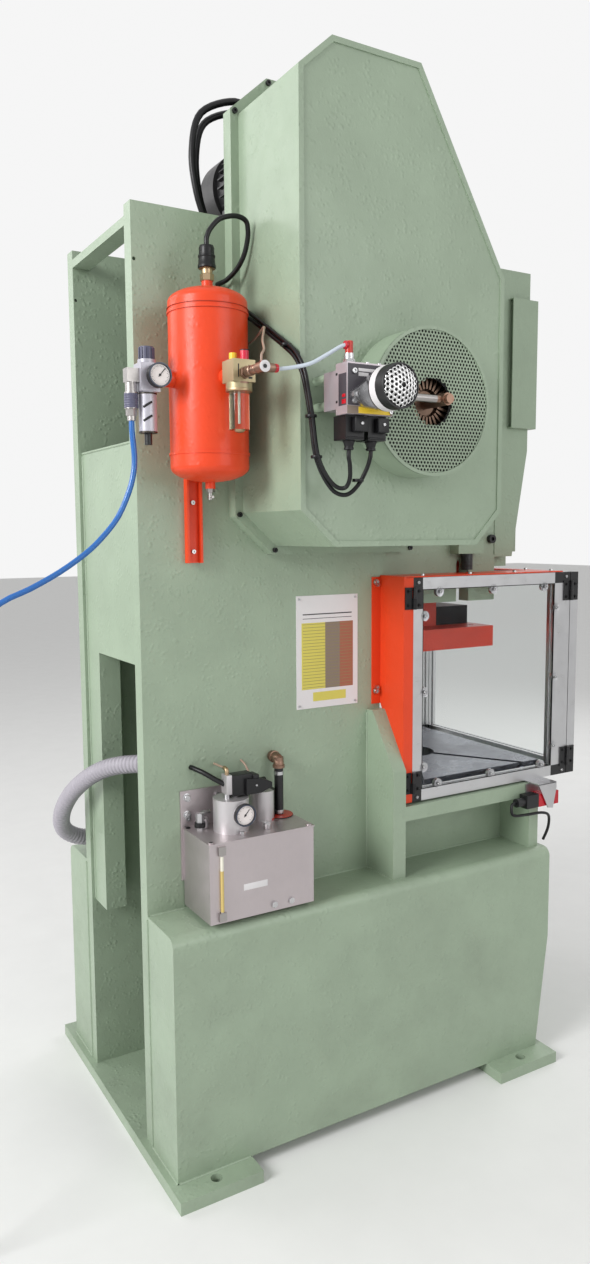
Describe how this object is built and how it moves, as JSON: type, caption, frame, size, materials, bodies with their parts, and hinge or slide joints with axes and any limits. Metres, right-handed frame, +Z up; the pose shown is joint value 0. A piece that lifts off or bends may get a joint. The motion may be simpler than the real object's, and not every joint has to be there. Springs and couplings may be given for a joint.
{
  "type": "mechanical stamping press",
  "caption": "Gap-frame eccentric stamping press with side flywheel, geared crankshaft, sliding ram, bolster plate, interlocked tool guards, air service and lubrication units",
  "frame": {"origin": "centre of the four anchor holes at the underside of the feet", "axes": "+X to the operator's right, +Y from the operator towards the rear of the press, +Z up"},
  "size_m": [1.235, 1.9569, 2.528],
  "materials": {
    "frame_green": "semi-gloss machine enamel with light soiling",
    "machined_steel": "machined, lightly oiled",
    "guard_orange": "smooth semi-gloss enamel",
    "ram_red": "semi-gloss enamel",
    "motor_black": "satin enamel",
    "belt_rubber": "matt black rubber",
    "fitting_brass": "turned, slightly dull",
    "cast_alloy": "die-cast, satin",
    "clear_plastic": "clear polycarbonate",
    "black_plastic": "fine-grained moulding",
    "plate_aluminium": "printed plate with bare fields",
    "signal_red": "glossy moulding",
    "tank_sheet": "bare folded sheet",
    "conduit_grey": "ribbed sheath",
    "cabinet_grey": "fine-textured powder coat",
    "hose_blue": "smooth polyurethane",
    "flywheel_iron": "cast, turned rim",
    "door_profile": "natural anodised"
  },
  "bodies": {
    "frame": {"left_side_plate": "frame_green", "right_side_plate": "frame_green", "cross_plates": "frame_green", "foot_plates": "frame_green", "base_boxes": "frame_green", "bed_plate": "frame_green", "bolster_plate": "machined_steel", "ram_guides": "frame_green", "head_cover": "frame_green", "knockout_stops": "frame_green", "belt_guard": "frame_green", "belt_guard_frame": "frame_green", "guard_cap": "frame_green", "shaft_bearings": "machined_steel", "gear_case": "frame_green", "motor": "motor_black", "motor_mount": "frame_green", "v_belts": "belt_rubber", "air_tank": "guard_orange", "tank_fittings": "fitting_brass", "filter_regulator": "cast_alloy", "hose_coupling": "machined_steel", "lubricator": "fitting_brass", "lubricator_bowl": "clear_plastic", "air_tubes": "clear_plastic", "safety_valve": "cast_alloy", "valve_silencer": "black_plastic", "valve_solenoids": "black_plastic", "control_cables": "belt_rubber", "rotary_union": "fitting_brass", "data_plate": "plate_aluminium", "guard_panels": "guard_orange", "interlock_switch": "signal_red", "oil_tank": "tank_sheet", "oil_pump": "cast_alloy", "grey_conduit": "conduit_grey", "control_cabinet": "cabinet_grey", "screws": "machined_steel", "air_hose": "hose_blue", "air_hose_coil": "hose_blue", "hose_end_coupling": "machined_steel"},
    "flywheel": {"flywheel": "flywheel_iron"},
    "motor_rotor": {"motor_pulley": "machined_steel"},
    "drive_shaft": {"drive_shaft": "machined_steel"},
    "crankshaft": {"crankshaft": "machined_steel", "bull_gear": "machined_steel"},
    "conrod": {"conrod": "machined_steel"},
    "ram": {"ram": "ram_red", "shank_clamp": "motor_black"},
    "left_door": {"left_door": "door_profile", "left_door_pane": "clear_plastic"},
    "front_door": {"front_door": "door_profile", "front_door_pane": "clear_plastic"},
    "right_door": {"right_door": "door_profile", "right_door_pane": "clear_plastic"},
    "cabinet_door": {"cabinet_door": "cabinet_grey"},
    "isolator_handle": {"isolator_handle": "signal_red"},
    "regulator_knob": {"regulator_knob": "black_plastic"},
    "air_gauge_needle": {"air_gauge_needle": "black_plastic"},
    "oil_gauge_needle": {"oil_gauge_needle": "black_plastic"}
  },
  "joints": [
    {"name": "flywheel_spin", "type": "hinge", "parent": "frame", "child": "flywheel", "pos_m": [-0.345, 0.023, 1.778], "axis": [1, 0, 0], "continuous": true},
    {"name": "motor_spin", "type": "hinge", "parent": "frame", "child": "motor_rotor", "pos_m": [-0.345, 0.117, 2.39], "axis": [1, 0, 0], "continuous": true},
    {"name": "crank_turn", "type": "hinge", "parent": "frame", "child": "crankshaft", "pos_m": [0, -0.387, 1.88606], "axis": [1, 0, 0], "range_deg": [0, 180]},
    {"name": "drive_shaft_turn", "type": "hinge", "parent": "frame", "child": "drive_shaft", "pos_m": [0, 0.023, 1.778], "axis": [1, 0, 0], "range_deg": [-554, 0]},
    {"name": "conrod_swing", "type": "hinge", "parent": "crankshaft", "child": "conrod", "pos_m": [0, -0.387, 1.92606], "axis": [1, 0, 0], "range_deg": [-180, 0]},
    {"name": "ram_slide", "type": "slide", "parent": "frame", "child": "ram", "axis": [0, 0, -1], "range_m": [0, 0.08]},
    {"name": "left_door_swing", "type": "hinge", "parent": "frame", "child": "left_door", "pos_m": [-0.337, -0.137, 1.092], "axis": [0, 0, 1], "range_deg": [-105, 0]},
    {"name": "front_door_swing", "type": "hinge", "parent": "left_door", "child": "front_door", "pos_m": [-0.337, -0.698, 1.092], "axis": [0, 0, 1], "range_deg": [-110, 0]},
    {"name": "right_door_swing", "type": "hinge", "parent": "frame", "child": "right_door", "pos_m": [0.337, -0.137, 1.092], "axis": [0, 0, 1], "range_deg": [0, 105]},
    {"name": "cabinet_door_swing", "type": "hinge", "parent": "frame", "child": "cabinet_door", "pos_m": [0.4563, 0.4003, 0.966], "axis": [0, 0, 1], "range_deg": [0, 110]},
    {"name": "isolator_turn", "type": "hinge", "parent": "cabinet_door", "child": "isolator_handle", "pos_m": [0.46, 0.12, 1.18], "axis": [1, 0, 0], "range_deg": [0, 90]},
    {"name": "regulator_turn", "type": "hinge", "parent": "frame", "child": "regulator_knob", "pos_m": [-0.34, 0.573, 1.87], "axis": [0, 0, 1], "range_deg": [-540, 540]},
    {"name": "air_gauge_turn", "type": "hinge", "parent": "frame", "child": "air_gauge_needle", "pos_m": [-0.387, 0.563, 1.823], "axis": [1, 0, 0], "range_deg": [-170, 100]},
    {"name": "oil_gauge_turn", "type": "hinge", "parent": "frame", "child": "oil_gauge_needle", "pos_m": [-0.351, 0.361, 0.853], "axis": [1, 0, 0], "range_deg": [-170, 100]}
  ],
  "couplings": [
    {"joint": "motor_spin", "follows": "flywheel_spin", "ratio": 3.6},
    {"joint": "drive_shaft_turn", "follows": "crank_turn", "ratio": -3.0769},
    {"joint": "conrod_swing", "follows": "crank_turn", "ratio": -1},
    {"joint": "ram_slide", "follows": "crank_turn", "m_per_rad": 0.025464}
  ]
}
